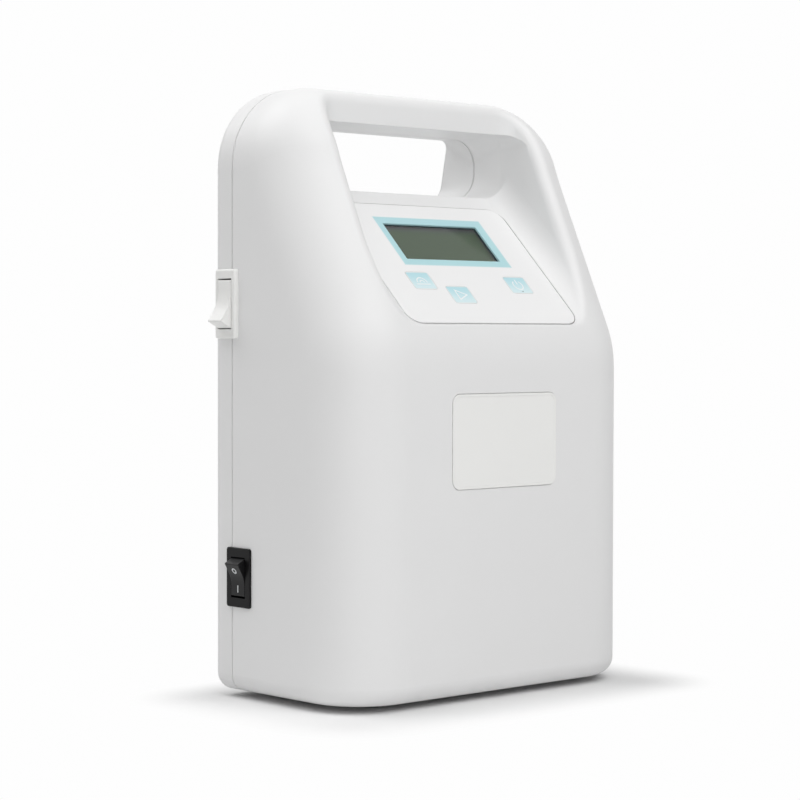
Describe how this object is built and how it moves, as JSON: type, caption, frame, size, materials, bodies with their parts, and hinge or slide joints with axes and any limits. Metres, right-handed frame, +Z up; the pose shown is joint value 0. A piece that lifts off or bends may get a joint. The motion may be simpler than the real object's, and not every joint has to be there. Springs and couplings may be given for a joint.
{
  "type": "compression therapy pump",
  "caption": "Upright white carry-handled compression pump with a sloped display and key panel, rocker switches, hose sockets, a mains inlet and a linear air pump inside.",
  "frame": {"origin": "on the floor, under the middle of the case", "axes": "+X to the right as seen from the front, +Y to the back, +Z up"},
  "size_m": [0.2103, 0.1026, 0.2925],
  "materials": {
    "shell_white": "fine moulded grain, slightly warm white",
    "panel_white": "printed keypad film",
    "key_blue": "pale blue printed film",
    "clear_window": "clear acrylic",
    "display_green": "switched-off liquid crystal glass",
    "label_white": "blank label film",
    "switch_black": "black nylon",
    "switch_white": "white nylon",
    "rubber_black": "soft black rubber",
    "board_green": "solder-resist green laminate",
    "film_amber": "polyimide film",
    "chip_black": "moulded epoxy",
    "plated_steel": "zinc plated sheet and screws",
    "tinned_brass": "tinned brass terminals",
    "core_steel": "varnished electrical steel",
    "coil_copper": "enamelled copper winding",
    "cast_grey": "die-cast aluminium",
    "moulded_grey": "glass-filled nylon",
    "silicone": "translucent silicone",
    "felt_grey": "filter felt",
    "wire_brown": "insulated wire",
    "socket_grey": "pale grey acetal",
    "diffuser": "milky light guide",
    "ribbon_grey": "flat cable",
    "can_black": "sleeved capacitor can",
    "fuse_glass": "glass fuse"
  },
  "bodies": {
    "case": {"front_casing": "shell_white", "rear_cover": "shell_white", "casing_screws": "plated_steel", "feet": "rubber_black", "label_plate": "label_white", "control_panel": "panel_white", "display_window": "clear_window", "keypad_circuit": "film_amber", "key_domes": "plated_steel", "display_glass": "display_green", "display_backlight": "diffuser", "display_bezel": "plated_steel", "display_board": "board_green", "control_board": "board_green", "control_chips": "chip_black", "buzzer": "chip_black", "small_screws": "plated_steel", "power_switch_frame": "switch_black", "power_switch_tabs": "tinned_brass", "side_switch_frame": "switch_white", "side_switch_tabs": "tinned_brass", "mains_inlet": "switch_black", "inlet_pins": "tinned_brass", "inlet_screws": "plated_steel", "intake_filter": "felt_grey", "socket_nuts": "tinned_brass", "socket_seals": "rubber_black", "chassis": "plated_steel", "pump_mounts": "rubber_black", "pump_frame": "cast_grey", "pump_core": "core_steel", "pump_coils": "coil_copper", "pump_diaphragms": "rubber_black", "pump_heads": "moulded_grey", "pump_screws": "plated_steel", "valve_manifold": "moulded_grey", "valve_frames": "plated_steel", "valve_coils": "coil_copper", "pressure_sensor": "chip_black", "air_hoses": "silicone", "supply_board": "board_green", "transformer_core": "core_steel", "transformer_winding": "coil_copper", "supply_capacitors": "can_black", "supply_heat_sink": "cast_grey", "supply_fuse": "fuse_glass", "supply_terminals": "switch_white", "mains_wires": "wire_brown", "ribbon_cable": "ribbon_grey", "hose_socket_lower": "socket_grey", "hose_socket_upper": "socket_grey"},
    "power_rocker": {"power_rocker": "switch_black"},
    "side_rocker": {"side_rocker": "switch_white"},
    "key_left": {"key_left": "key_blue"},
    "key_middle": {"key_middle": "key_blue"},
    "key_right": {"key_right": "key_blue"},
    "pump_armature": {"pump_armature": "core_steel"},
    "valve_plunger_1": {"valve_plunger_1": "plated_steel"},
    "valve_plunger_2": {"valve_plunger_2": "plated_steel"},
    "valve_plunger_3": {"valve_plunger_3": "plated_steel"}
  },
  "joints": [
    {"name": "power_rocker_hinge", "type": "hinge", "parent": "case", "child": "power_rocker", "pos_m": [-0.0962, 0.0302, 0.0583], "axis": [0, 1, 0], "range_deg": [0, 30]},
    {"name": "side_rocker_hinge", "type": "hinge", "parent": "case", "child": "side_rocker", "pos_m": [-0.0974, 0.0387, 0.18835], "axis": [0, -1, 0], "range_deg": [0, 35]},
    {"name": "key_left_press", "type": "slide", "parent": "case", "child": "key_left", "axis": [0, 0.7046, -0.7096], "range_m": [0, 0.0004], "stiffness_N_per_m": 3000, "springref_m": -0.0002},
    {"name": "key_middle_press", "type": "slide", "parent": "case", "child": "key_middle", "axis": [0, 0.7046, -0.7096], "range_m": [0, 0.0004], "stiffness_N_per_m": 3000, "springref_m": -0.0002},
    {"name": "key_right_press", "type": "slide", "parent": "case", "child": "key_right", "axis": [0, 0.7046, -0.7096], "range_m": [0, 0.0004], "stiffness_N_per_m": 3000, "springref_m": -0.0002},
    {"name": "armature_stroke", "type": "slide", "parent": "case", "child": "pump_armature", "axis": [1, 0, 0], "range_m": [-0.0025, 0.0025], "stiffness_N_per_m": 3000},
    {"name": "valve_1_lift", "type": "slide", "parent": "case", "child": "valve_plunger_1", "axis": [0, 0, 1], "range_m": [0, 0.0015], "stiffness_N_per_m": 200, "springref_m": -0.003},
    {"name": "valve_2_lift", "type": "slide", "parent": "case", "child": "valve_plunger_2", "axis": [0, 0, 1], "range_m": [0, 0.0015], "stiffness_N_per_m": 200, "springref_m": -0.003},
    {"name": "valve_3_lift", "type": "slide", "parent": "case", "child": "valve_plunger_3", "axis": [0, 0, 1], "range_m": [0, 0.0015], "stiffness_N_per_m": 200, "springref_m": -0.003}
  ]
}
